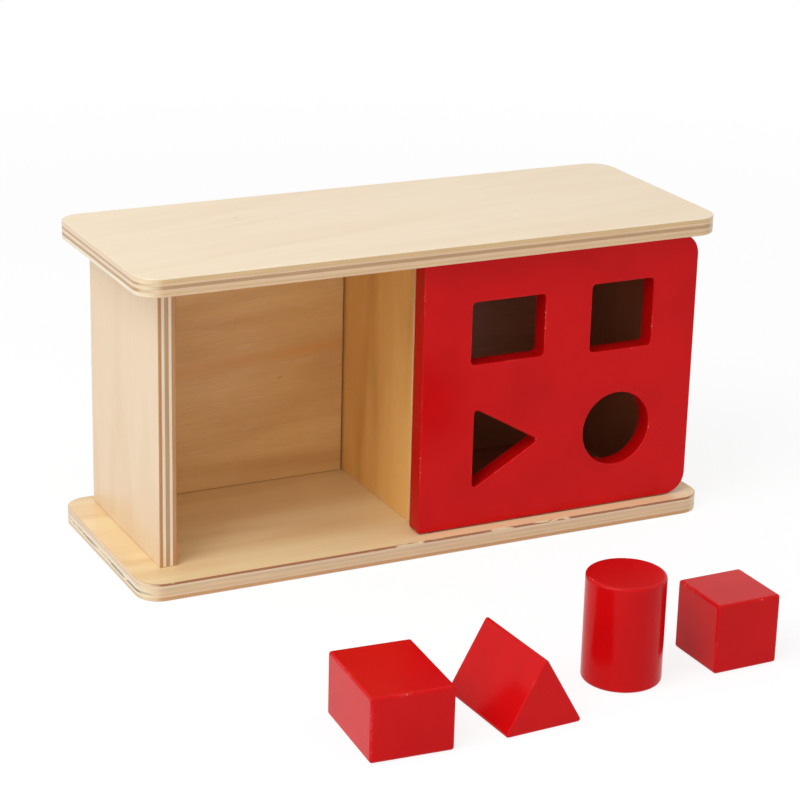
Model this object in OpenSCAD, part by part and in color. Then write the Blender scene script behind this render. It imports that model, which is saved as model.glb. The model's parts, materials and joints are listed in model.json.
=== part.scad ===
// Object permanence box in plywood. Two compartments stand side by side between a top and a base
// board. A red door with four shaped holes swings on pins at the middle, so that it closes either
// compartment, and four loose red blocks pass through its holes.
// The origin is the middle of the base's underside: +X to the right, +Y to the back, +Z up.

/* [Boards] */
// Length of the top and base boards, left to right
board_l = 310; // [290:1:400]
// Depth of the top and base boards, front to back
board_d = 120; // [116:1:160]
// Thickness of every plywood board
ply = 9; // [8:0.5:12]
// Corner radius of the top and base boards, seen from above
board_corner_r = 12; // [3:0.5:14]

/* [Walls] */
// Clear height between the base and the top board
wall_h = 141; // [135:1:200]
// From a board's end to the outer face of the wall near it
wall_end_inset = 15; // [8:0.5:30]
// From the boards' front edge to the walls' front edge
wall_front_setback = 18.5; // [15:0.5:22]
// From the boards' rear edge to the walls' rear edge
wall_rear_setback = 6.5; // [0:0.5:10]
// Gap between a back panel and the walls beside it
panel_gap = 0.8; // [0.3:0.1:2]

/* [Door] */
// Thickness of the door
door_t = 10.5; // [7:0.5:13]
// How far the door's free edge stands past the wall, as a finger grip
door_overhang = 7; // [3:0.5:12]
// From the pivot to the door's short end
door_heel = 7.7; // [6:0.1:12]
// Gap between the door's inner face and the walls' front edge
door_standoff = 0.7; // [0.5:0.1:4]
// Gap between the turning heel and the divider's front edge
heel_clearance = 3; // [0.5:0.1:6]
// Corner radius at the door's free edge
door_corner_r = 11; // [3:0.5:20]
// Corner radius at the door's heel
heel_corner_r = 1.5; // [0.5:0.1:3]
// Play between the door's upper washer and the top board
door_top_play = 0.2; // [0.1:0.05:1]

/* [Door holes] */
// Width of the rectangular hole
rect_hole_w = 40.5; // [30:0.5:46]
// Height of the rectangular hole
rect_hole_h = 32; // [24:0.5:38]
// Side of the square hole
square_hole = 35.5; // [28:0.5:40]
// Side of the triangular hole, corner to corner before rounding
tri_hole_side = 42.8; // [34:0.2:48]
// Diameter of the round hole
round_hole_d = 38.5; // [30:0.5:42]
// Corner radius of the holes
hole_corner_r = 2; // [1:0.25:4]
// From the pivot to the middle of the inner pair of holes
inner_hole_offset = 39.3; // [34:0.1:45]
// From the door's free edge to the middle of the outer pair of holes
outer_hole_offset = 43.2; // [30:0.1:48]
// From the door's top edge to the middle of the upper pair of holes
upper_hole_drop = 38.5; // [30:0.5:45]
// From the door's bottom edge to the middle of the lower pair of holes
lower_hole_rise = 40.9; // [30:0.1:45]

/* [Blocks] */
// Length of the rectangular, triangular and round blocks
block_l = 50; // [40:1:60]
// Play between a block and its hole, on each side
block_play = 1.1; // [0.5:0.1:2]
// Radius of the blocks' eased long edges
block_edge_r = 1; // [0.5:0.1:2]
// Gap between neighbouring blocks in their row
block_gap = 21; // [8:1:30]
// From the box's middle to the left end of the row of blocks
row_start = 124; // [80:0.5:150]
// Gap between the swinging door's free edge and the row of blocks
sweep_gap = 2; // [1:0.5:20]
// Turn of the rectangular block on the table, in degrees
rect_turn = -3.7; // [-10:0.1:10]
// Turn of the triangular block on the table, in degrees
tri_turn = 2.9; // [-10:0.1:10]
// Turn of the cube on the table, in degrees
cube_turn = 0.9; // [-10:0.1:10]

/* [Pivot] */
// Diameter of the two pivot pins
pin_d = 4; // [3:0.25:5]
// Length of a pin inside the door
pin_in_door = 14; // [8:1:25]
// Radial running clearance between a pin and the door
pin_play = 0.05; // [0.02:0.01:0.1]
// Radial clearance between a pin and the board that holds it
pin_fit = 0.02; // [0.01:0.01:0.05]
// Outer diameter of the washers above and below the door
washer_d = 8.5; // [7:0.5:9]
// Thickness of the washers, which is the gap below the door
washer_t = 0.5; // [0.3:0.1:2]
// Radial clearance between a washer and its pin
washer_play = 0.3; // [0.2:0.05:0.5]

/* [Fasteners] */
// Wood left beyond a blind hole in the top or base board
blind_skin = 3; // [2:0.5:4]
// Empty length at the end of a blind hole
end_room = 1; // [0.5:0.1:3]
// Diameter of the wooden dowels under the top board
dowel_d = 5; // [4:0.5:6]
// Length of a dowel inside the wall or panel below it
dowel_in_wall = 14; // [10:1:20]
// Radial glue clearance round a dowel
dowel_fit = 0.05; // [0.02:0.01:0.1]
// Shank diameter of the screws through the base
screw_d = 3; // [2.5:0.1:3.5]
// Head diameter of the screws
screw_head_d = 6; // [5:0.5:7]
// Overall length of the screws
screw_l = 30; // [20:1:40]
// Depth of the screw heads below the base's underside
screw_sink = 0.4; // [0.2:0.1:1]
// Radial clearance round a screw's shank where it passes through the base
screw_pass = 0.3; // [0.1:0.05:0.5]
// Radial clearance round a screw's shank in the wood that it holds
screw_fit = 0.03; // [0.01:0.01:0.05]
// Length of a screw's pointed tip
screw_tip_l = 4.5; // [3:0.1:6]
// Width of the cross recess in a screw head
recess_w = 0.8; // [0.5:0.1:1]
// Length of the cross recess in a screw head
recess_l = 3.6; // [2.5:0.1:4.5]
// From a wall's front or rear edge to its nearest dowel and screw
wall_fastener_inset = 18; // [12:0.5:24]
// From a back panel's end to its nearest dowel and screw
panel_fastener_inset = 25; // [15:0.5:40]

/* [Hidden] */
$fn = 64;

// Length by which a cut runs past the face that it opens
through = 1;

// Heights and depths of the carcass
top_z = ply + wall_h;
front_y = -board_d / 2 + wall_front_setback;
back_y = board_d / 2 - wall_rear_setback;
wall_outer_x = board_l / 2 - wall_end_inset;
wall_inner_x = wall_outer_x - ply;
wall_mid_x = wall_outer_x - ply / 2;
panel_mid_y = back_y - ply / 2;
panel_l = wall_inner_x - ply / 2 - 2 * panel_gap;
panel_mid_x = (wall_inner_x + ply / 2) / 2;
blind_depth = ply - blind_skin;

// The door turns about a vertical line through the middle of its thickness
pivot_y = front_y - door_standoff - door_t / 2;
door_reach = wall_outer_x + door_overhang;
door_bottom_z = ply + washer_t;
door_h = wall_h - 2 * washer_t - door_top_play;
door_top_z = door_bottom_z + door_h;
divider_front_y = pivot_y + norm([door_heel, door_t / 2]) + heel_clearance;

// Middles of the hole pairs, from the pivot and from the door's bottom edge
inner_x = inner_hole_offset;
outer_x = door_reach - outer_hole_offset;
upper_z = door_h - upper_hole_drop;
lower_z = lower_hole_rise;

// Each block is its hole less the play on every side
rect_w = rect_hole_w - 2 * block_play;
rect_h = rect_hole_h - 2 * block_play;
cube_edge = square_hole - 2 * block_play;
round_d = round_hole_d - 2 * block_play;
tri_side = tri_hole_side - 2 * sqrt(3) * block_play;

// The row of blocks stands just outside the circle that the door sweeps
row_back_y = pivot_y - norm([door_reach, door_t / 2]) - sweep_gap;
rect_x = -row_start + rect_w / 2;
tri_x = rect_x + rect_w / 2 + block_gap + tri_side / 2;
round_x = tri_x + tri_side / 2 + block_gap + round_d / 2;
cube_x = round_x + round_d / 2 + block_gap + cube_edge / 2;

// Middles of the dowels, which have a screw below each of them
wall_spots = [
    for (x = [-wall_mid_x, wall_mid_x]) each [
        [x, front_y + wall_fastener_inset],
        [x, back_y - wall_fastener_inset],
    ],
];
divider_spots = [
    [0, divider_front_y + wall_fastener_inset],
    [0, back_y - wall_fastener_inset],
];
upright_spots = concat(wall_spots, divider_spots);
panel_spots = [
    for (side = [-1, 1], end = [-1, 1])
        [side * panel_mid_x + end * (panel_l / 2 - panel_fastener_inset), panel_mid_y],
];
fastener_spots = concat(upright_spots, panel_spots);

// A rectangle about the origin with round corners
module rounded_rect(w, h, r) {
    square([w - 2 * r, h], center = true);
    square([w, h - 2 * r], center = true);
    for (x = [-1, 1], y = [-1, 1]) {
        translate([x * (w / 2 - r), y * (h / 2 - r)]) circle(r);
    }
}

// An equilateral triangle about its centroid, with round corners and one corner towards +X
module rounded_triangle(side, r) {
    corner = side / sqrt(3) - 2 * r;
    polygon([
        for (a = [0, 120, 240], turn = [-60, 60])
            corner * [cos(a), sin(a)] + r * [cos(a + turn), sin(a + turn)],
    ]);
    for (a = [0, 120, 240]) {
        rotate(a) translate([corner, 0]) circle(r);
    }
}

// Distance from a triangle's centroid to the middle of its height along +X, after rounding
function triangle_middle(side, r) = (side / sqrt(3) - r - side / (2 * sqrt(3))) / 2;

// Half the depth that a block covers from front to back once it is turned
function turned_half_depth(w, l, turn) = l / 2 * cos(turn) + w / 2 * abs(sin(turn));

module at_spots(spots, z) {
    for (spot = spots) translate([spot.x, spot.y, z]) children();
}

module board_blank() {
    linear_extrude(ply) rounded_rect(board_l, board_d, board_corner_r);
}

module dowel() {
    translate([0, 0, -dowel_in_wall]) cylinder(h = dowel_in_wall + blind_depth, d = dowel_d);
}

// The hole for a dowel, in the top board and in the piece below it
module dowel_hole() {
    depth = dowel_in_wall + end_room;
    translate([0, 0, -depth]) cylinder(h = depth + blind_depth, r = dowel_d / 2 + dowel_fit);
}

// The cone under a screw head, from the head's edge to the shank
module screw_cone() {
    cylinder(h = (screw_head_d - screw_d) / 2, d1 = screw_head_d, d2 = screw_d);
}

// A countersunk wood screw that points up, with its head's flat face at the origin
module screw() {
    recess_depth = (screw_head_d - screw_d) / 2;
    difference() {
        union() {
            screw_cone();
            cylinder(h = screw_l - screw_tip_l, d = screw_d);
            translate([0, 0, screw_l - screw_tip_l]) cylinder(h = screw_tip_l, d1 = screw_d, d2 = 0);
        }
        for (turn = [0, 90]) {
            rotate(turn) cube([recess_l, recess_w, 2 * recess_depth], center = true);
        }
    }
}

// The countersink and the clearance hole that a screw needs in the base
module screw_passage() {
    translate([0, 0, screw_sink]) screw_cone();
    translate([0, 0, -through]) cylinder(h = screw_sink + through, d = screw_head_d);
    cylinder(h = ply + through, r = screw_d / 2 + screw_pass);
}

// The pilot hole for a screw, from the base's underside up into the piece that it holds
module screw_pilot() {
    cylinder(h = screw_sink + screw_l + end_room, r = screw_d / 2 + screw_fit);
}

// What the dowels and screws take out of a wall, the divider or a back panel
module fastener_holes(spots) {
    at_spots(spots, top_z) dowel_hole();
    at_spots(spots, 0) screw_pilot();
}

module base_board() {
    color("burlywood") difference() {
        board_blank();
        at_spots(fastener_spots, 0) screw_passage();
        translate([0, pivot_y, blind_skin]) cylinder(h = ply, r = pin_d / 2 + pin_fit);
    }
}

module top_board() {
    color("burlywood") difference() {
        translate([0, 0, top_z]) board_blank();
        at_spots(fastener_spots, top_z) dowel_hole();
        translate([0, pivot_y, top_z - through])
            cylinder(h = blind_depth + through, r = pin_d / 2 + pin_fit);
    }
}

// An upright board that stands on the base, with its dowel and screw holes
module upright(mid_x, y_from, y_to) {
    color("wheat") difference() {
        translate([mid_x - ply / 2, y_from, ply]) cube([ply, y_to - y_from, wall_h]);
        fastener_holes(upright_spots);
    }
}

module left_wall() {
    upright(-wall_mid_x, front_y, back_y);
}

module right_wall() {
    upright(wall_mid_x, front_y, back_y);
}

module divider() {
    upright(0, divider_front_y, back_y);
}

module back_panel(mid_x) {
    color("tan") difference() {
        translate([mid_x - panel_l / 2, back_y - ply, ply]) cube([panel_l, ply, wall_h]);
        fastener_holes(panel_spots);
    }
}

module left_back_panel() {
    back_panel(-panel_mid_x);
}

module right_back_panel() {
    back_panel(panel_mid_x);
}

module wall_dowels() {
    color("peru") at_spots(upright_spots, top_z) dowel();
}

module panel_dowels() {
    color("peru") at_spots(panel_spots, top_z) dowel();
}

module wall_screws() {
    color("silver") at_spots(upright_spots, screw_sink) screw();
}

module panel_screws() {
    color("silver") at_spots(panel_spots, screw_sink) screw();
}

module pivot_pin(z_from, z_to) {
    color("silver") translate([0, pivot_y, z_from]) cylinder(h = z_to - z_from, d = pin_d);
}

module lower_pivot_pin() {
    pivot_pin(blind_skin, door_bottom_z + pin_in_door);
}

module upper_pivot_pin() {
    pivot_pin(door_top_z - pin_in_door, top_z + blind_depth);
}

module pivot_washer(z) {
    color("black") translate([0, pivot_y, z]) difference() {
        cylinder(h = washer_t, d = washer_d);
        translate([0, 0, -through]) cylinder(h = washer_t + 2 * through, r = pin_d / 2 + washer_play);
    }
}

module lower_pivot_washer() {
    pivot_washer(ply);
}

module upper_pivot_washer() {
    pivot_washer(door_top_z);
}

// The door's outline from the pivot: a short square heel and a long leaf with round corners
module door_outline() {
    leaf_l = door_reach - door_corner_r;
    translate([heel_corner_r - door_heel, 0]) square([door_heel - heel_corner_r + leaf_l, door_h]);
    translate([-door_heel, heel_corner_r]) square([door_heel, door_h - 2 * heel_corner_r]);
    translate([0, door_corner_r]) square([door_reach, door_h - 2 * door_corner_r]);
    for (up = [0, 1]) {
        inward = 1 - 2 * up;
        translate([leaf_l, up * door_h + inward * door_corner_r]) circle(door_corner_r);
        translate([heel_corner_r - door_heel, up * door_h + inward * heel_corner_r]) circle(heel_corner_r);
    }
}

module door_holes() {
    translate([inner_x, upper_z]) rounded_rect(rect_hole_w, rect_hole_h, hole_corner_r);
    translate([outer_x, upper_z]) rounded_rect(square_hole, square_hole, hole_corner_r);
    translate([inner_x - triangle_middle(tri_hole_side, hole_corner_r), lower_z])
        rounded_triangle(tri_hole_side, hole_corner_r);
    translate([outer_x, lower_z]) circle(d = round_hole_d);
}

module flip_door() {
    bore_depth = pin_in_door + end_room;
    color("firebrick") translate([0, pivot_y, door_bottom_z]) difference() {
        translate([0, door_t / 2, 0]) rotate([90, 0, 0]) linear_extrude(door_t) difference() {
            door_outline();
            door_holes();
        }
        for (z = [-through, door_h - bore_depth]) {
            translate([0, 0, z]) cylinder(h = bore_depth + through, r = pin_d / 2 + pin_play);
        }
    }
}

// A block on the table, turned, with its rearmost point on the row's line
module in_row(x, w, l, turn) {
    color("firebrick")
        translate([x, row_back_y - turned_half_depth(w, l, turn), 0]) rotate(turn) children();
}

// A block that lies with its length from front to back
module lying(l) {
    rotate([90, 0, 0]) linear_extrude(l, center = true) children();
}

module rectangular_block() {
    in_row(rect_x, rect_w, block_l, rect_turn) lying(block_l)
        translate([0, rect_h / 2]) rounded_rect(rect_w, rect_h, block_edge_r);
}

module triangular_block() {
    in_row(tri_x, tri_side, block_l, tri_turn) lying(block_l)
        translate([0, tri_side / (2 * sqrt(3))]) rotate(90) rounded_triangle(tri_side, block_edge_r);
}

module round_block() {
    in_row(round_x, round_d, round_d, 0) cylinder(h = block_l, d = round_d);
}

module cube_block() {
    in_row(cube_x, cube_edge, cube_edge, cube_turn)
        linear_extrude(cube_edge) rounded_rect(cube_edge, cube_edge, block_edge_r);
}

base_board();
top_board();
left_wall();
right_wall();
divider();
left_back_panel();
right_back_panel();
wall_dowels();
panel_dowels();
wall_screws();
panel_screws();
lower_pivot_pin();
upper_pivot_pin();
lower_pivot_washer();
upper_pivot_washer();
flip_door();
rectangular_block();
triangular_block();
round_block();
cube_block();
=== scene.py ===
# %% [markdown]
# # A plywood box with a red flip door
# The real toy is a carcass of 9 mm plywood with two compartments, a lacquered door that swings from one
# to the other, and four loose lacquered blocks. The CAD frame already gives every piece its size and its
# joints. This script dresses it: each piece is remade with softened edges, and gets a finish that is
# worked out in three dimensions, so that a board shows its layers wherever it was sawn.

# %% Load the frame
import json
import math

import bmesh
import bpy
from mathutils import Euler, Matrix, Quaternion, Vector


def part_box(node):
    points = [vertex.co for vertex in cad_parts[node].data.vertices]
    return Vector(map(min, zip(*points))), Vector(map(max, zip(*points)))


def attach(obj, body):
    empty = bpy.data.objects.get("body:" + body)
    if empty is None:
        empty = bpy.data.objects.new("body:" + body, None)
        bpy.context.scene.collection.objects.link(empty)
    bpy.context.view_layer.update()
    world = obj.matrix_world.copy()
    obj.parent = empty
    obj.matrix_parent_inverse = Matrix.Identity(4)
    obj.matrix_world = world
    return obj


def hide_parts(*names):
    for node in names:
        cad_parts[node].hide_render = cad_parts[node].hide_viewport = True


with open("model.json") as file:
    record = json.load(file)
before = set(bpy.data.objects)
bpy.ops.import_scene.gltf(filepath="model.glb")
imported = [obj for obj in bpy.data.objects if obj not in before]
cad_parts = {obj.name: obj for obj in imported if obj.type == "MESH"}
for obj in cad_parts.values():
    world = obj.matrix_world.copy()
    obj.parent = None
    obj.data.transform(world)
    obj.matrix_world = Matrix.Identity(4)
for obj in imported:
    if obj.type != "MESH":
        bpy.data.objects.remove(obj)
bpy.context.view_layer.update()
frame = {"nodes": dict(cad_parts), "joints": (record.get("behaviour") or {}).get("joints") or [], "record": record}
MM = 0.001
X, Y, Z = range(3)

# %% [markdown]
# The camera comes first, because everything later is judged through it. It stands a good metre away with
# a long lens, to the left of the front and a little above the top board. A direction, a distance and a
# small roll describe it better than a bare matrix, since each of them can be changed by itself.

# %% Camera
CAMERA_AIM = Vector((13.5, 13.9, 55.8)) * MM
CAMERA_DISTANCE = 1290 * MM
CAMERA_AZIMUTH = math.radians(-26.43)
CAMERA_ELEVATION = math.radians(19.46)
CAMERA_ROLL = math.radians(1.45)
CAMERA_LENS_MM = 112.33


def towards(azimuth, elevation):
    """The unit vector from the object towards a viewer, where azimuth 0 is straight in front."""
    flat = math.cos(elevation)
    return Vector((math.sin(azimuth) * flat, -math.cos(azimuth) * flat, math.sin(elevation)))


camera = bpy.data.objects.new("camera", bpy.data.cameras.new("camera"))
camera.data.lens = CAMERA_LENS_MM
view_from = towards(CAMERA_AZIMUTH, CAMERA_ELEVATION)
camera.location = CAMERA_AIM + CAMERA_DISTANCE * view_from
camera.rotation_mode = "QUATERNION"
level = (-view_from).to_track_quat("-Z", "Y")
camera.rotation_quaternion = level @ Quaternion((0, 0, 1), CAMERA_ROLL)
bpy.context.scene.collection.objects.link(camera)
bpy.context.scene.camera = camera
bpy.context.scene.view_settings.view_transform = "Standard"
print("camera stands at", [round(c, 3) for c in camera.location])

# %% [markdown]
# Shader trees are easier to read when each node is one call. `add` makes a node, sets its options, and
# fills its inputs: a number is written into the socket, and a socket is linked to it. `math_node` and `mix`
# wrap the two nodes that are used most, and the Map Range node comes in three kinds: a straight spread, a
# smooth rise and a smooth fall. Colours are written as they would be picked on a screen, so `paint` turns
# those values into the linear ones that a shader needs, by the curve of the sRGB standard.

# %% Nodes in one call
def paint(red, green, blue):
    """A linear colour from screen values between 0 and 255."""
    def linear(value):
        share = value / 255
        return share / 12.92 if share < 0.04045 else ((share + 0.055) / 1.055) ** 2.4
    return (linear(red), linear(green), linear(blue), 1)


def fill(tree, node, inputs):
    """Writes numbers and colours into a node's sockets, and links the values that are sockets."""
    for name, value in inputs.items():
        if isinstance(value, bpy.types.NodeSocket):
            tree.links.new(value, node.inputs[name])
        else:
            node.inputs[name].default_value = value


def add(tree, kind, inputs=None, **options):
    node = tree.nodes.new(kind)
    for name, value in options.items():
        setattr(node, name, value)
    fill(tree, node, inputs or {})
    return node


def math_node(tree, operation, first, second=0.0, clamp=False):
    node = add(tree, "ShaderNodeMath", {0: first, 1: second}, operation=operation, use_clamp=clamp)
    return node.outputs[0]


def mix(tree, factor, first, second, blend="MIX"):
    """A colour between first and second. Sockets 0, 6 and 7 are the factor and the two colours."""
    inputs = {0: factor, 6: first, 7: second}
    return add(tree, "ShaderNodeMix", inputs, data_type="RGBA", blend_type=blend).outputs[2]


def mix_numbers(tree, factor, first, second):
    """A number between first and second. Sockets 0, 2 and 3 are the factor and the two numbers."""
    return add(tree, "ShaderNodeMix", {0: factor, 2: first, 3: second}, data_type="FLOAT").outputs[0]


def spread(tree, value, low, high, start=0.0, end=1.0):
    """A straight change from low to high while the value goes from start to end."""
    inputs = {"Value": value, "From Min": start, "From Max": end, "To Min": low, "To Max": high}
    return add(tree, "ShaderNodeMapRange", inputs).outputs[0]


def ramp_up(tree, value, low, high):
    """0 below low, 1 above high, and a smooth rise between them."""
    inputs = {"Value": value, "From Min": low, "From Max": high}
    return add(tree, "ShaderNodeMapRange", inputs, interpolation_type="SMOOTHSTEP").outputs[0]


def ramp_down(tree, value, low, high):
    """1 below low, 0 above high, and a smooth fall between them."""
    return math_node(tree, "SUBTRACT", 1.0, ramp_up(tree, value, low, high))


def grey(tree, tone):
    return add(tree, "ShaderNodeCombineColor", {0: tone, 1: tone, 2: tone}).outputs[0]


print("a middle grey of 128 is", round(paint(128, 128, 128)[0], 3), "in linear light")

# %% [markdown]
# Wood and lacquer differ from place to place, so every finish here starts from noise. `stretched_noise`
# takes the size of its blobs in millimetres, and a blob that is long one way is already a wood fibre. The
# same few lines open every material and every node group, so they become helpers as well.

# %% Noise, materials and groups
NOISE_MIDDLE = 0.5


def stretched_noise(tree, place, size, seed=0.0, detail=2.0, roughness=0.5):
    """Noise whose blobs are about size across in the units of place."""
    scale = tuple(1 / length for length in size)
    scaled = add(tree, "ShaderNodeVectorMath", {0: place, 1: scale}, operation="MULTIPLY")
    inputs = {
        "Vector": scaled.outputs[0], "W": seed, "Scale": 1.0, "Detail": detail, "Roughness": roughness,
    }
    return add(tree, "ShaderNodeTexNoise", inputs, noise_dimensions="4D").outputs[0]


def even_noise(tree, place, across, seed=0.0, detail=2.0):
    """Noise whose blobs are as long as they are wide."""
    return stretched_noise(tree, place, (across,) * 3, seed, detail)


def bumped(tree, height, strength, distance):
    inputs = {"Height": height, "Strength": strength, "Distance": distance}
    return add(tree, "ShaderNodeBump", inputs).outputs[0]


def new_material(name):
    """A material, its node tree and its Principled BSDF."""
    material = bpy.data.materials.new(name)
    material.use_nodes = True
    return material, material.node_tree, material.node_tree.nodes["Principled BSDF"]


def place_in_mm(tree):
    where = add(tree, "ShaderNodeTexCoord").outputs["Object"]
    return add(tree, "ShaderNodeMapping", {"Vector": where, "Scale": (1 / MM,) * 3}).outputs[0]


def new_group(name, inputs, outputs):
    """A node group with named sockets, and the two nodes that stand for its inside ends."""
    group = bpy.data.node_groups.new(name, "ShaderNodeTree")
    for in_out, sockets in (("INPUT", inputs), ("OUTPUT", outputs)):
        for title, kind in sockets.items():
            group.interface.new_socket(title, in_out=in_out, socket_type="NodeSocket" + kind)
    return group, add(group, "NodeGroupInput"), add(group, "NodeGroupOutput")


print("shader helpers are ready")

# %% [markdown]
# Veneer is peeled from a log like paper from a roll, so its figure is the contour map of the tree's rings:
# long wandering lines. A sine of stretched noise draws such contours. A knot pushes the rings aside, so its
# distance is added to the contour before the sine. The group reads a place in millimetres along, across and
# through the board, so one group serves boards that face any way.

# %% Veneer figure: rings round a knot
RING_SIZE = (230, 30, 30)
RING_DETAIL = 1.5
RING_COUNT = 26
KNOT_STRETCH = (0.5, 1, 1)
KNOT_REACH = 16
KNOT_SWELL = 0.08

figure, given, result = new_group(
    "veneer_figure",
    {"Place": "Vector", "Seed": "Float", "Knot": "Vector", "Heart": "Float"},
    {title: "Float" for title in ("Rings", "Grain", "Fibre", "Patch", "Pores", "Flecks", "Core", "Band")},
)
place, seed = given.outputs["Place"], given.outputs["Seed"]
away = add(figure, "ShaderNodeVectorMath", {0: place, 1: given.outputs["Knot"]}, operation="SUBTRACT")
away = add(figure, "ShaderNodeVectorMath", {0: away.outputs[0], 1: KNOT_STRETCH}, operation="MULTIPLY")
away = add(figure, "ShaderNodeVectorMath", {0: away.outputs[0]}, operation="LENGTH").outputs["Value"]
near = ramp_down(figure, away, 0.0, KNOT_REACH)
contour = stretched_noise(figure, place, RING_SIZE, seed, detail=RING_DETAIL)
contour = math_node(figure, "ADD", contour, math_node(figure, "MULTIPLY", near, KNOT_SWELL))
wave = math_node(figure, "SINE", math_node(figure, "MULTIPLY", contour, RING_COUNT))
print("rings take", len(figure.nodes), "nodes")

# %% [markdown]
# Finer noise, stretched much more, gives the grain lines and the fibres, and the peaks of two others are
# the dark pores and the pale flecks, where fibres dip into the cut. A row of the table gives a noise's size,
# its detail, and the two levels between which its mask rises. Some veneers also cross the redder heart of
# the tree, which shows as one soft band along the grain that fades towards one end.

# %% Veneer figure: marks and heart band
NOISE_MASKS = {
    "Grain": ((110, 3.2, 3.2), 3, (0.3, 0.7)),
    "Patch": ((110, 42, 42), 2, (0.25, 0.75)),
    "Pores": ((7, 0.6, 0.6), 1, (0.66, 0.76)),
    "Flecks": ((16, 1.1, 1.1), 2, (0.55, 0.68)),
}
FIBRE_SIZE = (45, 0.9, 0.9)
FIBRE_DETAIL, FIBRE_ROUGHNESS = 4, 0.6
KNOT_CORE = (0.2, 0.9)
HEART_BENDS = (90, 400, 400)
HEART_WANDER = 8
HEART_HALF = 5
HEART_TAPER = 60
HEART_FAINT = 0.3

bend = math_node(figure, "SUBTRACT", stretched_noise(figure, place, HEART_BENDS, seed), NOISE_MIDDLE)
bend = math_node(figure, "MULTIPLY", bend, HEART_WANDER)
ways = add(figure, "ShaderNodeSeparateXYZ", {0: place}).outputs
off = math_node(figure, "SUBTRACT", math_node(figure, "SUBTRACT", ways[Y], given.outputs["Heart"]), bend)
band = ramp_down(figure, math_node(figure, "ABSOLUTE", off), 0.0, HEART_HALF)
taper = spread(figure, ways[X], HEART_FAINT, 1.0, start=-HEART_TAPER, end=HEART_TAPER)
drawn = {
    title: ramp_up(figure, stretched_noise(figure, place, size, seed, detail), *rise)
    for title, (size, detail, rise) in NOISE_MASKS.items()
}
drawn["Rings"] = spread(figure, wave, 0.0, 1.0, start=-1.0)
drawn["Fibre"] = stretched_noise(figure, place, FIBRE_SIZE, seed, FIBRE_DETAIL, FIBRE_ROUGHNESS)
drawn["Core"] = ramp_down(figure, away, *KNOT_CORE)
drawn["Band"] = math_node(figure, "MULTIPLY", band, taper)
fill(figure, result, drawn)
print("veneer figure has", len(figure.nodes), "nodes")

# %% [markdown]
# A plywood edge shows its layers as stripes, because every second layer has its grain turned. Which
# stripe a point lies in depends only on how deep it is in the board, with a slight waver where the veneers
# swelled. This small group gives that depth from 0 to 1, and each board's own colour ramps turn it into
# stripes.

# %% Depth in the plywood
PLY_THICKNESS = 9.0
HALF_BOARD = 0.5
WAVER_SIZE = (60, 60, 9)
WAVER_DEPTH = 0.35

depth_group, given, result = new_group(
    "ply_depth", {"Place": "Vector", "Seed": "Float"}, {"Depth": "Float"}
)
through = add(depth_group, "ShaderNodeSeparateXYZ", {0: given.outputs["Place"]}).outputs[Z]
waver = stretched_noise(depth_group, given.outputs["Place"], WAVER_SIZE, given.outputs["Seed"])
waver = math_node(depth_group, "SUBTRACT", waver, NOISE_MIDDLE)
shifted = math_node(depth_group, "ADD", through, math_node(depth_group, "MULTIPLY", waver, WAVER_DEPTH))
share = math_node(depth_group, "DIVIDE", shifted, PLY_THICKNESS)
fill(depth_group, result, {"Depth": math_node(depth_group, "ADD", share, HALF_BOARD, clamp=True)})
print("depth group has", len(depth_group.nodes), "nodes")

# %% [markdown]
# Now the two come together in a third group, which serves all seven boards. First the broad faces: each
# mark of the veneer lays a share of a darker, paler or redder tone over the plain face. The rings only show
# in patches, and the pale flecks only on pale wood.

# %% Plywood surface: veneer on the faces
FLECK = paint(255, 243, 222)
HEARTWOOD = paint(230, 162, 82)
KNOT = paint(112, 66, 34)
RING_SHARE, GRAIN_SHARE = 0.75, 0.25
FIBRE_RISE = (0.3, 0.7)
FIBRE_SHARE = 0.14
FLECK_SHARE = 0.2
HEART_SHARE = 0.5
PORE_SHARE = 0.4
KNOT_SHARE = 0.55

plywood, given, result = new_group(
    "plywood_surface",
    {
        "Place": "Vector", "Facing": "Vector", "Seed": "Float", "Knot": "Vector", "Heart": "Float",
        "Face": "Color", "Streak": "Color", "Long edge": "Color", "End edge": "Color",
        "Long whole": "Float", "End whole": "Float", "Figure": "Float",
    },
    {"Color": "Color", "Roughness": "Float", "Height": "Float"},
)
looks = {socket.name: socket for socket in given.outputs}
veneer = add(plywood, "ShaderNodeGroup", node_tree=figure)
fill(plywood, veneer, {title: looks[title] for title in ("Place", "Seed", "Knot", "Heart")})
drawn = {socket.name: socket for socket in veneer.outputs}


def share_of(value, amount):
    return math_node(plywood, "MULTIPLY", value, amount)


streaks = share_of(drawn["Rings"], RING_SHARE)
streaks = math_node(plywood, "ADD", streaks, share_of(drawn["Grain"], GRAIN_SHARE))
streaks = math_node(plywood, "MULTIPLY", share_of(streaks, drawn["Patch"]), looks["Figure"], clamp=True)
fibre_tone = ramp_up(plywood, drawn["Fibre"], *FIBRE_RISE)
bright = add(plywood, "ShaderNodeRGBToBW", {0: looks["Face"]}).outputs[0]
face = mix(plywood, streaks, looks["Face"], looks["Streak"])
face = mix(plywood, share_of(fibre_tone, FIBRE_SHARE), face, looks["Streak"])
face = mix(plywood, share_of(share_of(drawn["Flecks"], bright), FLECK_SHARE), face, FLECK)
face = mix(plywood, share_of(drawn["Band"], HEART_SHARE), face, HEARTWOOD)
face = mix(plywood, share_of(drawn["Pores"], PORE_SHARE), face, looks["Streak"])
face = mix(plywood, share_of(share_of(drawn["Core"], looks["Figure"]), KNOT_SHARE), face, KNOT)
print("faces take", len(plywood.nodes), "nodes")

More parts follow.
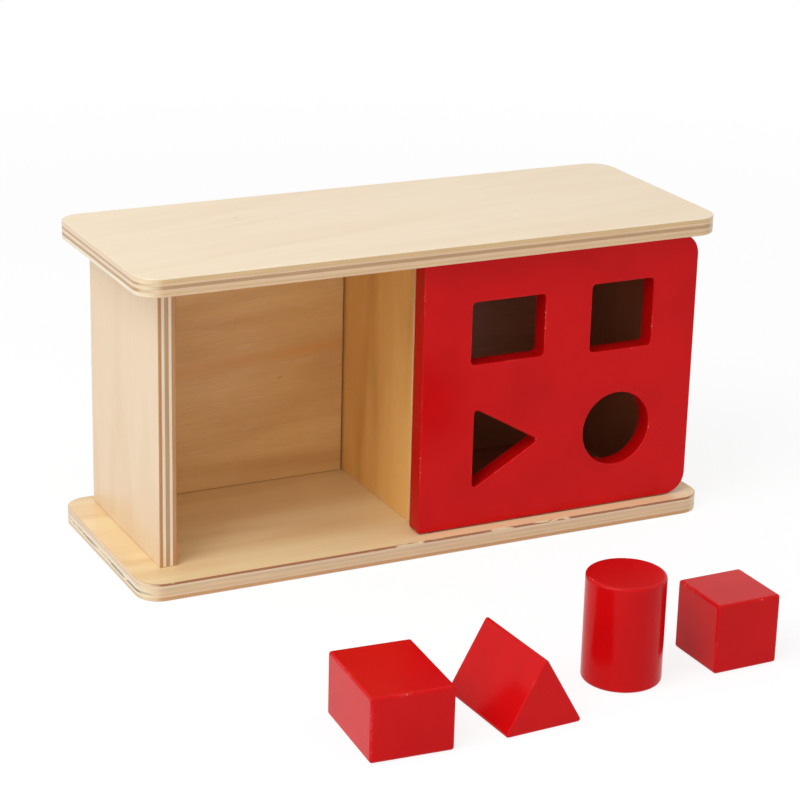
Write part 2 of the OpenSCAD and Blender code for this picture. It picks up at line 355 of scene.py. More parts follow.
# %% [markdown]
# Then the edges. The direction in which a spot faces says what shows there: veneer on the broad faces,
# stripes on the edges, and another set of stripes on the board's ends, where the turned layers swap looks.
# A layer is missing where a noise rises above its wholeness, round corners are sanded paler, and fine lines
# run along the saw cut. The eased rims lie between face and edge, so they shade from one into the other.

# %% Plywood surface: layers on the edges
END_TURN = (0.45, 0.8)
CORNER_TURN = (0.2, 0.45)
FACE_TURN = (0.85, 0.97)
CORNER_PALE = 0.6
GAP_SIZE = (26, 26, 4)
GAP_RISE = (0.0, 0.05)
LINE_SIZE = (34, 34, 0.5)
LINE_LEVELS = (0.25, 0.75)
LINE_TONES = (0.78, 1.06)
WOOD_ROUGHNESS = (0.28, 0.42)

turned = add(plywood, "ShaderNodeVectorMath", {0: looks["Facing"]}, operation="ABSOLUTE")
faces = add(plywood, "ShaderNodeSeparateXYZ", {0: turned.outputs[0]}).outputs
on_end = ramp_up(plywood, faces[X], *END_TURN)
edge = mix(plywood, on_end, looks["Long edge"], looks["End edge"])
whole = mix_numbers(plywood, on_end, looks["Long whole"], looks["End whole"])
gaps = stretched_noise(plywood, looks["Place"], GAP_SIZE, looks["Seed"], detail=3, roughness=0.6)
missing = ramp_up(plywood, math_node(plywood, "SUBTRACT", gaps, whole), *GAP_RISE)
edge = mix(plywood, missing, edge, looks["Face"])
corner = ramp_up(plywood, share_of(faces[X], faces[Y]), *CORNER_TURN)
edge = mix(plywood, share_of(corner, CORNER_PALE), edge, looks["Face"])
lines = stretched_noise(plywood, looks["Place"], LINE_SIZE, looks["Seed"], detail=4, roughness=0.7)
tone = spread(plywood, lines, *LINE_TONES, *LINE_LEVELS)
edge = mix(plywood, 1.0, edge, grey(plywood, tone), blend="MULTIPLY")
fill(plywood, result, {
    "Color": mix(plywood, ramp_up(plywood, faces[Z], *FACE_TURN), edge, face),
    "Roughness": spread(plywood, drawn["Fibre"], *WOOD_ROUGHNESS),
    "Height": math_node(plywood, "SUBTRACT", drawn["Fibre"], drawn["Pores"]),
})
print("plywood surface has", len(plywood.nodes), "nodes")

# %% [markdown]
# Each board came from its own sheet, so each has its own stack of layers. A row of a stack gives a layer's
# thickness in millimetres, its tone on a long edge and its tone on an end. The tones have names, as a
# joiner would call them. A dark layer often comes and goes along an edge, so a tone's fourth number says
# how whole its layer is.

# %% Layer stacks
CREAM = paint(253, 238, 210)
BUTTER_HIGHLIGHT = paint(255, 222, 163)
PALE = paint(243, 216, 184)
STRAW = paint(240, 206, 166)
GOLD = paint(234, 198, 146)
TAN = paint(232, 200, 158)
BROWN = paint(202, 162, 120)
ORANGE = paint(218, 168, 116)
ORANGE_BROWN = paint(204, 148, 96)
RED_BROWN = paint(176, 114, 72)
DARK_GREY = paint(146, 134, 118)


def dashed(tone, whole):
    return tone[:3] + (whole,)


TOP_STACK = [
    (1.3, STRAW, CREAM), (0.8, GOLD, CREAM), (1.6, STRAW, BROWN), (1.7, BROWN, PALE), (1.1, STRAW, BROWN),
    (2.0, GOLD, PALE), (0.5, CREAM, PALE),
]
BASE_STACK = [
    (2.0, ORANGE, TAN), (0.9, STRAW, CREAM), (1.3, TAN, dashed(DARK_GREY, 0.5)), (1.1, STRAW, CREAM),
    (1.4, TAN, PALE), (1.1, PALE, TAN), (1.2, dashed(RED_BROWN, 0.56), PALE),
]
WALL_STACK = [
    (2.3, ORANGE_BROWN, PALE), (1.4, CREAM, BROWN), (2.1, BROWN, CREAM), (1.5, CREAM, BROWN),
    (1.7, ORANGE_BROWN, PALE),
]
# The divider's butter outer layers are partly a painted highlight along its front edge, which stands in the door's
# shade.
DIVIDER_STACK = [
    (1.6, BUTTER_HIGHLIGHT, CREAM), (1.9, BROWN, PALE), (2.0, CREAM, BROWN), (1.9, BROWN, PALE), (1.6, BUTTER_HIGHLIGHT, CREAM),
]
for stack in (TOP_STACK, BASE_STACK, WALL_STACK, DIVIDER_STACK):
    print(len(stack), "layers,", round(sum(layer[0] for layer in stack), 1), "mm")

# %% [markdown]
# One function makes the plywood of any board. A Mapping node turns the board's place so that its grain runs
# along X and its good or plain side faces Z, and a colour ramp with hard steps turns depth into stripes. A
# board's two sides have their own pair of tones, plain and streak. Painted shade in umber tones can cover a
# part of one side, between two corners seen from above.

# %% Plywood finish
SIDE_TURN = (-0.1, 0.1)
FIBRE_BUMP = 0.25
FIBRE_HEIGHT = 0.06 * MM
NO_KNOT = Vector((0, 0, 1000))
NO_HEART = 1000.0
LONG_EDGE, END_EDGE = 1, 2
# Umber tones are painted shade for the closed compartment behind the door.
SHADE_UMBER_TONES = paint(178, 113, 74), paint(144, 86, 49)


def stripes(tree, depth, stack, column):
    """The tone and the wholeness at a depth, from a ramp with one hard-edged band for each layer."""
    ramp = add(tree, "ShaderNodeValToRGB", {0: depth})
    ramp.color_ramp.interpolation = "CONSTANT"
    start = 0.0
    for index, layer in enumerate(stack):
        stops = ramp.color_ramp.elements
        stop = stops[0] if index == 0 else stops.new(start / PLY_THICKNESS)
        stop.color = layer[column]
        start += layer[0]
    ramp.color_ramp.elements.remove(ramp.color_ramp.elements[-1])
    return ramp.outputs["Color"], ramp.outputs["Alpha"]


def inside(tree, place, low, high):
    """1 where a place lies between two corners, seen from above, and 0 elsewhere."""
    axes = add(tree, "ShaderNodeSeparateXYZ", {0: place}).outputs
    within = 1.0
    for axis in (X, Y):
        past_low = math_node(tree, "GREATER_THAN", axes[axis], low[axis])
        before_high = math_node(tree, "LESS_THAN", axes[axis], high[axis])
        within = math_node(tree, "MULTIPLY", within, math_node(tree, "MULTIPLY", past_low, before_high))
    return within


def plywood_finish(
    node, turn, stack, plus, minus, seed, strength=0.5, knot=NO_KNOT, heart=NO_HEART, shaded_area=None
):
    """The plywood of one board. Plus and minus are the face and streak tones of its two sides."""
    low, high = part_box(node)
    middle = (low + high) / 2 / MM
    turning = turn.to_matrix()
    material, tree, shader = new_material(node + "_plywood")
    where = add(tree, "ShaderNodeTexCoord").outputs
    spot = add(tree, "ShaderNodeMapping", {
        "Vector": where["Object"], "Location": -(turning @ middle), "Rotation": turn, "Scale": (1 / MM,) * 3,
    }).outputs[0]
    inputs = {"Vector": where["Normal"], "Rotation": turn}
    facing = add(tree, "ShaderNodeMapping", inputs, vector_type="VECTOR").outputs[0]
    side = ramp_up(tree, add(tree, "ShaderNodeSeparateXYZ", {0: facing}).outputs[Z], *SIDE_TURN)
    depth = add(tree, "ShaderNodeGroup", node_tree=depth_group)
    fill(tree, depth, {"Place": spot, "Seed": seed})
    long_tone, long_whole = stripes(tree, depth.outputs[0], stack, LONG_EDGE)
    end_tone, end_whole = stripes(tree, depth.outputs[0], stack, END_EDGE)
    # Painted shade: within the given corners the plus side turns to the umber tones.
    if shaded_area:
        shade_mask = inside(tree, where["Object"], *shaded_area)
        plus = [mix(tree, shade_mask, *tones) for tones in zip(plus, SHADE_UMBER_TONES)]
    wood = add(tree, "ShaderNodeGroup", node_tree=plywood)
    fill(tree, wood, {
        "Place": spot, "Facing": facing, "Seed": seed, "Knot": turning @ (knot - middle),
        "Heart": math_node(tree, "ADD", heart, math_node(tree, "MULTIPLY", side, NO_HEART)),
        "Face": mix(tree, side, minus[0], plus[0]), "Streak": mix(tree, side, minus[1], plus[1]),
        "Figure": strength, "Long edge": long_tone, "Long whole": long_whole, "End edge": end_tone,
        "End whole": end_whole,
    })
    fill(tree, shader, {
        "Base Color": wood.outputs["Color"], "Roughness": wood.outputs["Roughness"],
        "Normal": bumped(tree, wood.outputs["Height"], FIBRE_BUMP, FIBRE_HEIGHT),
    })
    return material


print("boards are", PLY_THICKNESS, "mm thick")

# %% [markdown]
# A sheet has a pale good side, which is turned outwards. Its other side ends up in the compartments and gets
# darker, warmer tones: partly the plain side of the sheet, partly painted shade of the compartments. The
# compartment behind the door gets darker umber tones still, floor included, as painted shade, so that a posted
# block is lost to sight. The grain of the long boards and of the back panels runs across, and that of the
# uprights runs up, each with the slope that its sheet happened to have.

# %% Finish of each board
PALE_TONES = paint(252, 231, 198), paint(238, 203, 160)
WALL_TONES = paint(242, 216, 181), paint(227, 188, 146)
BASE_TONES = paint(247, 224, 176), paint(227, 185, 128)
# BACK and HONEY are the inner sides' tones; their deeper, warmer colour is in part painted shade of the
# compartments.
BACK_TONES = paint(242, 203, 139), paint(198, 138, 73)
HONEY_TONES = paint(248, 199, 119), paint(208, 145, 69)
BACK_KNOT = Vector((-40.8, 44.5, 65.5))
TOP_KNOT = Vector((-73.7, 24.7, 159))
BACK_HEART = 3.2


def grain_along_x(slope=0.0):
    return Euler((0, 0, math.radians(slope)))


def grain_upright():
    return Euler((0, math.radians(90), 0))


def panel_on_edge(slope):
    return Euler((math.radians(90), 0, math.radians(slope)))


right_wall_low, right_wall_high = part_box("right_wall")
# Corners, seen from above, of the painted shade on the floor behind the door.
shaded_floor = [
    (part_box("divider")[1].x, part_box("flip_door")[1].y), (right_wall_low.x, right_wall_high.y),
]
finishes = {
    "top_board": plywood_finish(
        "top_board", grain_along_x(-9), TOP_STACK, PALE_TONES, BASE_TONES, seed=1.0, strength=0.4,
        knot=TOP_KNOT,
    ),
    "base_board": plywood_finish(
        "base_board", grain_along_x(), BASE_STACK, BASE_TONES, PALE_TONES, seed=2.0, strength=0.7,
        shaded_area=shaded_floor,
    ),
    "left_wall": plywood_finish(
        "left_wall", grain_upright(), WALL_STACK, WALL_TONES, BACK_TONES, seed=3.0
    ),
    "right_wall": plywood_finish(
        "right_wall", grain_upright(), WALL_STACK, SHADE_UMBER_TONES, WALL_TONES, seed=4.0
    ),
    "divider": plywood_finish(
        "divider", grain_upright(), DIVIDER_STACK, HONEY_TONES, SHADE_UMBER_TONES, seed=5.0, strength=0.7
    ),
    "left_back_panel": plywood_finish(
        "left_back_panel", panel_on_edge(4), WALL_STACK, WALL_TONES, BACK_TONES, seed=6.0, strength=0.6,
        knot=BACK_KNOT, heart=BACK_HEART,
    ),
    "right_back_panel": plywood_finish(
        "right_back_panel", panel_on_edge(-3), WALL_STACK, WALL_TONES, SHADE_UMBER_TONES, seed=7.0, strength=0.9
    ),
}
print("plywood finishes:", ", ".join(finishes))

# %% [markdown]
# Every board starts as a cube that is scaled to the node it stands for, so its size can't drift from the
# frame. Then edges are bevelled: upright ones first, where a board has round corners, and the rims after
# them. A bevel with several segments is a round-over, and its faces are marked, so that a finish can tell a
# worn edge from a flat. The strips in the middle of a round-over stand out furthest and wear most, so they
# get the higher mark.

# %% Sawn stock and round-overs
EASED = "eased"
EASED_BORDER = 0.25
PARALLEL = 0.999
SHARP = math.radians(40)


def block_between(low, high):
    bm = bmesh.new()
    bmesh.ops.create_cube(bm, size=1)
    bmesh.ops.scale(bm, vec=high - low, verts=bm.verts)
    bmesh.ops.translate(bm, vec=(low + high) / 2, verts=bm.verts)
    return bm


def edges_along(bm, axis):
    return [e for e in bm.edges if abs((e.verts[1].co - e.verts[0].co).normalized()[axis]) > PARALLEL]


def sharp_edges(bm):
    return [e for e in bm.edges if e.calc_face_angle(0) > SHARP]


def round_over(bm, edges, radius, segments):
    made = bmesh.ops.bevel(
        bm, geom=edges, offset=radius, affect="EDGES", segments=segments, profile=0.5, material=-1
    )
    return made["faces"]


def ease_rims(bm, radius, segments=4):
    """Rounds every sharp edge and marks the new faces, those beside a flat less than the others."""
    mark = bm.faces.layers.float.get(EASED) or bm.faces.layers.float.new(EASED)
    strips = set(round_over(bm, sharp_edges(bm), radius, segments))
    for face in strips:
        neighbours = {other for edge in face.edges for other in edge.link_faces}
        face[mark] = 1.0 if neighbours <= strips else EASED_BORDER


print("an edge is eased where its faces meet at more than", round(math.degrees(SHARP)), "degrees")

# %% [markdown]
# Holes are drilled and sawn as on the bench: the drill or the plug is a closed shape, and a Boolean modifier
# takes it out. The modifier works on objects, so the shapes become objects for a moment. `dress` is the last
# step of every piece: it gives it a finish, evens out the shading over the flats, hides the CAD node that the
# piece stands for, and hangs the piece on the body that carries it.

# %% Cutting and dressing
body_of = {node: body for body, nodes in frame["record"]["behaviour"]["bodies"].items() for node in nodes}


def as_object(bm, name):
    mesh = bpy.data.meshes.new(name)
    bm.to_mesh(mesh)
    thing = bpy.data.objects.new(name, mesh)
    bpy.context.scene.collection.objects.link(thing)
    return thing


def cut(bm, tools):
    """Takes closed shapes, each a bmesh, out of bm."""
    solid = as_object(bm, "solid")
    cutters = []
    for tool in tools:
        bmesh.ops.recalc_face_normals(tool, faces=tool.faces)
        cutter = as_object(tool, "cutter")
        modifier = solid.modifiers.new("cut", "BOOLEAN")
        modifier.object = cutter
        modifier.operation = "DIFFERENCE"
        modifier.solver = "EXACT"
        cutters.append(cutter)
        tool.free()
    bpy.context.view_layer.update()
    done = solid.evaluated_get(bpy.context.evaluated_depsgraph_get())
    bm.clear()
    bm.from_mesh(done.to_mesh())
    done.to_mesh_clear()
    for thing in [solid] + cutters:
        mesh = thing.data
        bpy.data.objects.remove(thing)
        bpy.data.meshes.remove(mesh)


def dress(bm, name, node, material):
    """Turns a bmesh into a finished piece that stands for a CAD node and rides with its body."""
    bmesh.ops.recalc_face_normals(bm, faces=bm.faces)
    for face in bm.faces:
        face.smooth = True
    piece = as_object(bm, name)
    bm.free()
    piece.data.materials.append(material)
    even = piece.modifiers.new("even_shading", "WEIGHTED_NORMAL")
    even.keep_sharp = True
    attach(piece, body_of[node])
    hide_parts(node)
    print(name, "has", len(piece.data.polygons), "faces")


# %% [markdown]
# Ten screws come up through the base, and ten dowels hang under the top. On the bench their places are
# marked off from the boards that they hold, and here they are worked out from those boards' boxes, so they
# follow when a wall moves.

# %% Fastener places
WALL_FASTENER_INSET = 18 * MM
PANEL_FASTENER_INSET = 25 * MM
UPRIGHT_BOARDS = ("left_wall", "right_wall", "divider", "left_back_panel", "right_back_panel")


def fastener_spots(node):
    """Two points, on the line along the middle of a wall or a back panel."""
    low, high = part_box(node)
    middle = (low + high) / 2
    if high.x - low.x > high.y - low.y:
        ends = (low.x + PANEL_FASTENER_INSET, high.x - PANEL_FASTENER_INSET)
        return [Vector((x, middle.y, 0)) for x in ends]
    ends = (low.y + WALL_FASTENER_INSET, high.y - WALL_FASTENER_INSET)
    return [Vector((middle.x, y, 0)) for y in ends]


spots = [spot for node in UPRIGHT_BOARDS for spot in fastener_spots(node)]
print(len(spots), "screws and as many dowels")

# %% [markdown]
# The top and the base are the same board: round corners seen from above and a soft round-over on both rims.
# The base is drilled and countersunk from below for the screws, and the top gets blind holes for the dowels.
# A drill is a cylinder or a cone that is taken out of the board, so one small helper makes them all. Each
# drill starts a millimetre outside the board, so that no thin skin is left over a hole.

# %% Top and base boards
BOARD_CORNER = 12 * MM
BOARD_CORNER_STEPS = 16
BOARD_EASE = 0.5 * MM
SCREW_HEAD = 6 * MM
SCREW_SHANK = 3 * MM
SCREW_SINK = 0.4 * MM
SCREW_PASS = 0.3 * MM
DOWEL = 5 * MM
DOWEL_DEPTH = 6 * MM
DRILL_STEPS = 32
UP = Vector((0, 0, 1))


def cylinder(low, depth, radius_low, radius_high=None, steps=DRILL_STEPS):
    """An upright cylinder or cone that stands on the point low."""
    bm = bmesh.new()
    top = radius_low if radius_high is None else radius_high
    bmesh.ops.create_cone(
        bm, cap_ends=True, segments=steps, radius1=radius_low, radius2=top, depth=depth
    )
    bmesh.ops.translate(bm, vec=Vector(low) + UP * depth / 2, verts=bm.verts)
    return bm


def board(node):
    bm = block_between(*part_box(node))
    round_over(bm, edges_along(bm, Z), BOARD_CORNER, BOARD_CORNER_STEPS)
    ease_rims(bm, BOARD_EASE)
    return bm


base = board("base_board")
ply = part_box("base_board")[1].z
cone_depth = (SCREW_HEAD - SCREW_SHANK) / 2
drills = []
for spot in spots:
    drills.append(cylinder(spot - UP * MM, MM + SCREW_SINK, SCREW_HEAD / 2))
    drills.append(cylinder(spot + UP * SCREW_SINK, cone_depth, SCREW_HEAD / 2, SCREW_SHANK / 2))
    drills.append(cylinder(spot - UP * MM, ply + 2 * MM, SCREW_SHANK / 2 + SCREW_PASS))
cut(base, drills)
dress(base, "base_board_birch", "base_board", finishes["base_board"])

top = board("top_board")
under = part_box("top_board")[0].z
cut(top, [cylinder(spot + UP * (under - MM), DOWEL_DEPTH + MM, DOWEL / 2) for spot in spots])
dress(top, "top_board_birch", "top_board", finishes["top_board"])

# %% [markdown]
# The uprights are sawn strips: their edges were only brushed with sandpaper, so the round-over is small.
# They stand in the light of the open compartment, where that thin line along an edge is what makes them
# look like sawn wood and not like a drawing.

# %% Walls, divider and back panels
WALL_EASE = 0.6 * MM

for node in UPRIGHT_BOARDS:
    strip = block_between(*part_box(node))
    ease_rims(strip, WALL_EASE, segments=3)
    dress(strip, node + "_birch", node, finishes[node])

# %% [markdown]
# The door and the blocks share one thick red lacquer. It is nearly flat in colour, so its life comes from
# small things: a faint cloudiness, the orange-peel skin of sprayed paint, and tiny chips along the eased
# edges, where the marked faces let the chips through. A faint pale tint along the eased rims, in the same
# runs, is a painted highlight. The door's sawn edges are a deeper red, which is painted shade, so they carry
# a mark of their own. A low specular level keeps the red deep, and the white surroundings still show at a
# glancing angle.

# %% Red lacquer
RED = paint(219, 14, 18)
DEEP_RED = paint(206, 9, 13)
# The deeper red of the door's sawn faces is painted shade.
SHADED_SIDE_RED = paint(192, 8, 11)
CHIP_AND_HIGHLIGHT = paint(245, 190, 180)
SAWN = "sawn"
CLOUD_SIZE, CLOUD_RISE = 40, (0.3, 0.7)
CHIP_SIZE, CHIP_RISE = 0.9, (0.66, 0.7)
RUN_SIZE, RUN_RISE = 14, (0.54, 0.62)
# A faint pale tint along the eased rims is a painted highlight.
RIM_HIGHLIGHT_TINT = 0.03
SMEAR_SIZE = 9
LACQUER_ROUGHNESS = (0.16, 0.26)
LACQUER_SPECULAR = 0.12
PEEL_SIZE = 1.4
PEEL_BUMP = 0.12
PEEL_HEIGHT = 0.03 * MM

lacquer, tree, shader = new_material("red_lacquer")
spot = place_in_mm(tree)
eased = add(tree, "ShaderNodeAttribute", attribute_name=EASED).outputs["Fac"]
sawn = add(tree, "ShaderNodeAttribute", attribute_name=SAWN).outputs["Fac"]
cloud = ramp_up(tree, even_noise(tree, spot, CLOUD_SIZE), *CLOUD_RISE)
chips_and_rim_highlight = ramp_up(tree, even_noise(tree, spot, CHIP_SIZE, detail=1), *CHIP_RISE)
# Painted highlight: a small share of the pale chip colour is added along the eased rims, together with the real
# chips.
chips_and_rim_highlight = math_node(tree, "ADD", chips_and_rim_highlight, RIM_HIGHLIGHT_TINT, clamp=True)
runs = ramp_up(tree, even_noise(tree, spot, RUN_SIZE, seed=3.0), *RUN_RISE)
chips_and_rim_highlight = math_node(tree, "MULTIPLY", math_node(tree, "MULTIPLY", chips_and_rim_highlight, runs), eased)
# The sawn faces get the deeper red of painted shade.
color = mix(tree, sawn, mix(tree, cloud, RED, DEEP_RED), SHADED_SIDE_RED)
smear = even_noise(tree, spot, SMEAR_SIZE, seed=5.0, detail=3)
peel = even_noise(tree, spot, PEEL_SIZE, seed=7.0, detail=1)
fill(tree, shader, {
    "Base Color": mix(tree, chips_and_rim_highlight, color, CHIP_AND_HIGHLIGHT), "Roughness": spread(tree, smear, *LACQUER_ROUGHNESS),
    "Normal": bumped(tree, peel, PEEL_BUMP, PEEL_HEIGHT), "Specular IOR Level": LACQUER_SPECULAR,
})
print("red lacquer has", len(tree.nodes), "nodes")

# %% [markdown]
# The door's four holes could be drawn into an outline, but a real door is sawn, so here it is cut the same
# way: four plugs are modelled and taken out. Their places are measured from the pivot, the free edge and the
# long edges, as they would be marked on the plate. The triangle is a cone with three sides and no taper.

# %% Hole plugs
RECTANGLE_HOLE = Vector((40.5, 32)) * MM
SQUARE_HOLE = Vector((35.5, 35.5)) * MM
TRIANGLE_HOLE = 42.8 * MM
ROUND_HOLE = 38.5 * MM
ROUND_STEPS = 96
HOLE_CORNER = 2 * MM
HOLE_CORNER_STEPS = 6
INNER_HOLES = 39.3 * MM
OUTER_HOLES = 43.2 * MM
UPPER_HOLES = 38.5 * MM
LOWER_HOLES = 40.9 * MM
QUARTER_TURN = math.radians(90)

door_low, door_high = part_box("flip_door")
pivot = Vector(frame["joints"][0]["pos_m"])
inner_x, outer_x = pivot.x + INNER_HOLES, door_high.x - OUTER_HOLES
upper_z, lower_z = door_high.z - UPPER_HOLES, door_low.z + LOWER_HOLES
plug_length = door_high.y - door_low.y + 2 * MM


def rotate(bm, angle, axis):
    bmesh.ops.rotate(bm, matrix=Matrix.Rotation(angle, 3, axis), verts=bm.verts)


def rectangle_plug(x, z, size):
    half = Vector((size.x, plug_length, size.y)) / 2
    middle = Vector((x, pivot.y, z))
    bm = block_between(middle - half, middle + half)
    round_over(bm, edges_along(bm, Y), HOLE_CORNER, HOLE_CORNER_STEPS)
    return bm


def prism(side, length, corner):
    """A triangular prism along Y about its centroid, one corner towards +X, with rounded long edges."""
    bm = bmesh.new()
    reach = side / math.sqrt(3)
    bmesh.ops.create_cone(bm, cap_ends=True, segments=3, radius1=reach, radius2=reach, depth=length)
    first = max(edges_along(bm, Z), key=lambda e: e.verts[0].co.length).verts[0].co
    rotate(bm, -math.atan2(first.y, first.x), "Z")
    rotate(bm, QUARTER_TURN, "X")
    round_over(bm, edges_along(bm, Y), corner * math.sqrt(3), HOLE_CORNER_STEPS)
    return bm


triangle_middle = (TRIANGLE_HOLE / math.sqrt(3) / 2 - HOLE_CORNER) / 2
triangle_plug = prism(TRIANGLE_HOLE, plug_length, HOLE_CORNER)
triangle_spot = Vector((inner_x - triangle_middle, pivot.y, lower_z))
bmesh.ops.translate(triangle_plug, vec=triangle_spot, verts=triangle_plug.verts)
round_plug = cylinder(-UP * plug_length / 2, plug_length, ROUND_HOLE / 2, steps=ROUND_STEPS)
rotate(round_plug, QUARTER_TURN, "X")
bmesh.ops.translate(round_plug, vec=(outer_x, pivot.y, lower_z), verts=round_plug.verts)
plugs = [
    rectangle_plug(inner_x, upper_z, RECTANGLE_HOLE), rectangle_plug(outer_x, upper_z, SQUARE_HOLE),
    triangle_plug, round_plug,
]
print(len(plugs), "plugs,", round(plug_length / MM, 1), "mm long")

# %% [markdown]
# The door itself is a plate with two large round corners at its free edge and two small ones at the pivot.
# The rims are eased after the holes are cut, all in one bevel, so that the holes get the same soft edge as
# the outline. Faces that don't look to the front or the back are sawn ones, and get the lacquer's mark for
# its deeper red, which is painted shade. The bores for the pins come last, since nobody eases those.

# %% Flip door
DOOR_CORNER = 11 * MM
DOOR_CORNER_STEPS = 14
HEEL_CORNER = 1.5 * MM
HEEL_CORNER_STEPS = 5
DOOR_EASE = 0.8 * MM
SAWN_TURN = 0.5
PIN_BORE = 4.1 * MM
PIN_BORE_DEPTH = 15 * MM

door = block_between(door_low, door_high)
heel_edges = [e for e in edges_along(door, Y) if e.verts[0].co.x < pivot.x]
round_over(door, heel_edges, HEEL_CORNER, HEEL_CORNER_STEPS)
free_edges = [e for e in edges_along(door, Y) if min(v.co.x for v in e.verts) > door_high.x - MM]
round_over(door, free_edges, DOOR_CORNER, DOOR_CORNER_STEPS)
cut(door, plugs)
ease_rims(door, DOOR_EASE)
door.normal_update()
# The sawn mark tells the lacquer where to paint shade.
sawn_mark = door.faces.layers.float.new(SAWN)
for face in door.faces:
    face[sawn_mark] = 1.0 if abs(face.normal.y) < SAWN_TURN else 0.0
lower_bore = Vector((pivot.x, pivot.y, door_low.z - MM))
upper_bore = Vector((pivot.x, pivot.y, door_high.z - PIN_BORE_DEPTH))
cut(door, [cylinder(low, PIN_BORE_DEPTH + MM, PIN_BORE / 2) for low in (lower_bore, upper_bore)])
dress(door, "flip_door_lacquered", "flip_door", lacquer)

# %% [markdown]
# The blocks stand in a row, each a little askew, as a child would leave them. A turned block's box in the
# frame is larger than the block, and its true width and length follow from the turn. Each block is made
# straight, eased, and only then turned into place, so its edges can still be found by their direction.

# %% Blocks
BLOCK_EASE = 1.4 * MM
WEDGE_EASE = 0.6 * BLOCK_EASE
WEDGE_CORNER = 1.4 * MM
WEDGE_SIDE = 38.99 * MM
TURNS = {"rectangular_block": -3.7, "triangular_block": 2.9, "round_block": 0.0, "cube_block": 0.9}


def straight_size(node):
    """Width, length and height of a block before it was turned on the table."""
    low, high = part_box(node)
    size = high - low
    turn = math.radians(abs(TURNS[node]))
    straight, across, both = math.cos(turn), math.sin(turn), math.cos(2 * turn)
    width = (size.x * straight - size.y * across) / both
    length = (size.y * straight - size.x * across) / both
    return Vector((width, length, size.z))


def set_down(bm, node):
    """Turns a block about its middle and puts it where the frame has it."""
    low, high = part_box(node)
    rotate(bm, math.radians(TURNS[node]), "Z")
    bmesh.ops.translate(bm, vec=((low.x + high.x) / 2, (low.y + high.y) / 2, 0), verts=bm.verts)
    dress(bm, node + "_lacquered", node, lacquer)


for node in ("rectangular_block", "cube_block"):
    size = straight_size(node)
    block = block_between(Vector((-size.x / 2, -size.y / 2, 0)), Vector((size.x / 2, size.y / 2, size.z)))
    ease_rims(block, BLOCK_EASE)
    set_down(block, node)

wedge = prism(WEDGE_SIDE, straight_size("triangular_block").y, WEDGE_CORNER)
rotate(wedge, -QUARTER_TURN, "Y")
bmesh.ops.translate(wedge, vec=UP * WEDGE_SIDE / math.sqrt(3) / 2, verts=wedge.verts)
ease_rims(wedge, WEDGE_EASE)
set_down(wedge, "triangular_block")

size = straight_size("round_block")
rod = cylinder((0, 0, 0), size.z, size.x / 2, steps=ROUND_STEPS)
ease_rims(rod, BLOCK_EASE)
set_down(rod, "round_block")

# %% [markdown]
# The small hardware is right as the frame has it, so those nodes stay and only get a finish: zinc plate
# with fine turning marks for pins and screws, black nylon for the washers, and beech for the dowels.

# %% Hardware finishes
MARK_RISE = (0.3, 0.7)
MARK_BUMP = 0.2
MARK_HEIGHT = 0.02 * MM


def hardware_finish(name, light, dark, size, roughness, metallic=0.0):
    """A finish whose colour and gloss wander between two tones on noise of the given size."""
    material, tree, shader = new_material(name)
    marks = stretched_noise(tree, place_in_mm(tree), size, detail=3, roughness=0.6)
    fill(tree, shader, {
        "Base Color": mix(tree, ramp_up(tree, marks, *MARK_RISE), light, dark),
        "Roughness": spread(tree, marks, *roughness), "Metallic": metallic,
        "Normal": bumped(tree, marks, MARK_BUMP, MARK_HEIGHT),
    })
    return material


zinc = hardware_finish(
    "zinc_steel", paint(205, 207, 206), paint(168, 172, 172), (3, 3, 0.15), (0.25, 0.45), metallic=1.0
)
nylon = hardware_finish("nylon", paint(48, 46, 44), paint(40, 38, 37), (1, 1, 0.4), (0.4, 0.55))
beech = hardware_finish("beech", paint(222, 184, 144), paint(196, 150, 108), (0.5, 0.5, 12), (0.5, 0.7))
HARDWARE = {
    zinc: ("wall_screws", "panel_screws", "lower_pivot_pin", "upper_pivot_pin"),
    nylon: ("lower_pivot_washer", "upper_pivot_washer"),
    beech: ("wall_dowels", "panel_dowels"),
}
for material, nodes in HARDWARE.items():
    for node in nodes:
        frame["nodes"][node].material_slots[0].material = material
    print(material.name, "on", ", ".join(nodes))

# %% [markdown]
# The floor is a plain pale sheet. A real white sweep is overlit until it burns out, which would also bleach
# the wood. Here the lamps stay at a plain level, and the sheet adds its own white for camera, mirror and
# glass rays only. A share of what is seen is still real light, so the soft shadow stays: the glow fills up
# what a bare floor lacks to white, and no more. Further out the share fades until only white is left.

# %% Floor
FLOOR_HALF = 8.0
FLOOR_DROP = 0.2 * MM
FLOOR_BOUNCE = 0.85
FLOOR_LEVEL = 0.8
SHADOW_SHARE = 0.2
SHADOW_FADE = (0.4, 1.1)


def seen_rays(tree):
    """1 for rays that show the background to the camera, a mirror or glass, and 0 for bounced light."""
    rays = add(tree, "ShaderNodeLightPath").outputs
    seen = math_node(tree, "MAXIMUM", rays["Is Camera Ray"], rays["Is Glossy Ray"])
    return math_node(tree, "MAXIMUM", seen, rays["Is Transmission Ray"])


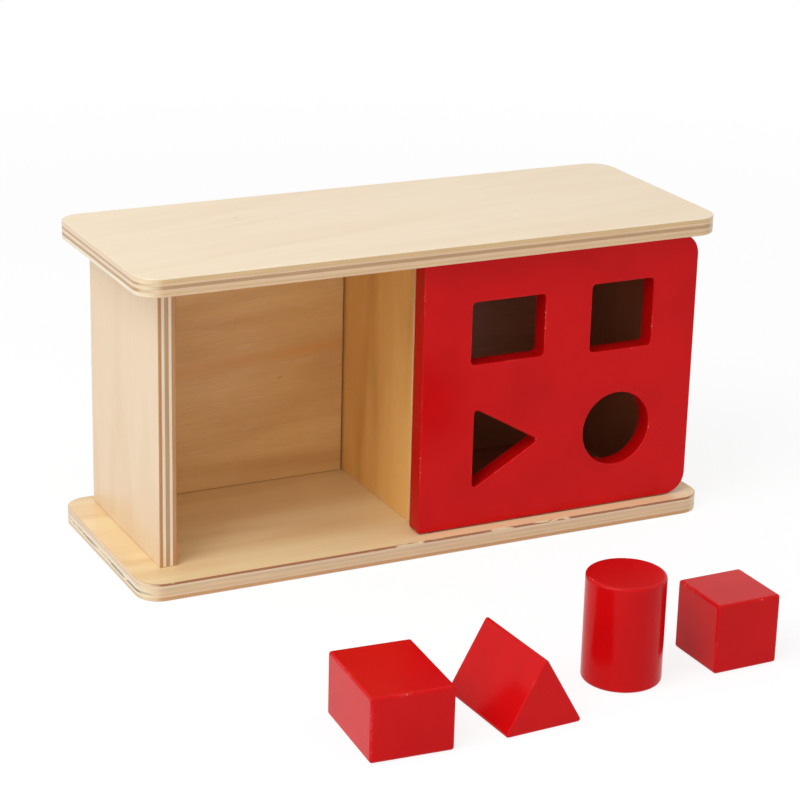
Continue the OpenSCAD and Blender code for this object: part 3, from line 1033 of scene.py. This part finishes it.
floor_bm = bmesh.new()
bmesh.ops.create_grid(floor_bm, x_segments=1, y_segments=1, size=FLOOR_HALF)
bmesh.ops.translate(floor_bm, vec=-UP * FLOOR_DROP, verts=floor_bm.verts)
floor = as_object(floor_bm, "floor")
floor_bm.free()
sheet, tree, shader = new_material("white_sheet")
tree.nodes.remove(shader)
where = add(tree, "ShaderNodeTexCoord").outputs["Object"]
far = add(tree, "ShaderNodeVectorMath", {0: where}, operation="LENGTH").outputs["Value"]
share = math_node(tree, "MULTIPLY", ramp_down(tree, far, *SHADOW_FADE), SHADOW_SHARE)
seen = seen_rays(tree)
color = grey(tree, mix_numbers(tree, seen, FLOOR_BOUNCE, share))
matte = add(tree, "ShaderNodeBsdfDiffuse", {"Color": color}).outputs[0]
lack = math_node(tree, "SUBTRACT", 1.0, math_node(tree, "MULTIPLY", share, FLOOR_LEVEL))
glow = add(tree, "ShaderNodeEmission", {"Strength": math_node(tree, "MULTIPLY", seen, lack)}).outputs[0]
both = add(tree, "ShaderNodeAddShader", {0: matte, 1: glow}).outputs[0]
fill(tree, tree.nodes["Material Output"], {"Surface": both})
floor.data.materials.append(sheet)
print("floor is", 2 * FLOOR_HALF, "m wide")

# %% [markdown]
# Soft studio light comes from all around, so a good part of it is the world itself. Five large lamps give it
# a direction: two at the left model the wall and the inside of the compartment, a high one lights the top
# and draws the shadow under its overhang, a low one near the camera reaches under the top board, and one
# at the right keeps the far sides from going grey. Rays that only show the background see plain white. A row
# of the table gives a lamp's azimuth and elevation in degrees, and its power in watts.

# %% Light
LIGHT_AIM = Vector((0, -0.05, 0.08))
LAMP_DISTANCE = 1.8
LAMP_SIZE = 1.2
AMBIENT = 0.38
LAMPS = {
    "low_left_softbox": (-75, 8, 3.0), "left_softbox": (-70, 45, 12.9), "high_softbox": (-60, 65, 6.4),
    "front_softbox": (-15, 12, 2.6), "right_softbox": (60, 30, 3.3),
}


def soft_lamp(name, azimuth, elevation, power):
    """A square lamp that faces the object from the given angles in degrees."""
    lamp = bpy.data.lights.new(name, "AREA")
    lamp.size = LAMP_SIZE
    lamp.energy = power
    holder = bpy.data.objects.new(name, lamp)
    outward = towards(math.radians(azimuth), math.radians(elevation))
    holder.location = LIGHT_AIM + LAMP_DISTANCE * outward
    holder.rotation_mode = "QUATERNION"
    holder.rotation_quaternion = (-outward).to_track_quat("-Z", "Y")
    bpy.context.scene.collection.objects.link(holder)
    print(name, "gives", power, "W")


for name, (azimuth, elevation, power) in LAMPS.items():
    soft_lamp(name, azimuth, elevation, power)

world = bpy.data.worlds.new("studio")
bpy.context.scene.world = world
world.use_nodes = True
tree = world.node_tree
strength = spread(tree, seen_rays(tree), AMBIENT, 1.0)
fill(tree, tree.nodes["Background"], {"Color": (1, 1, 1, 1), "Strength": strength})
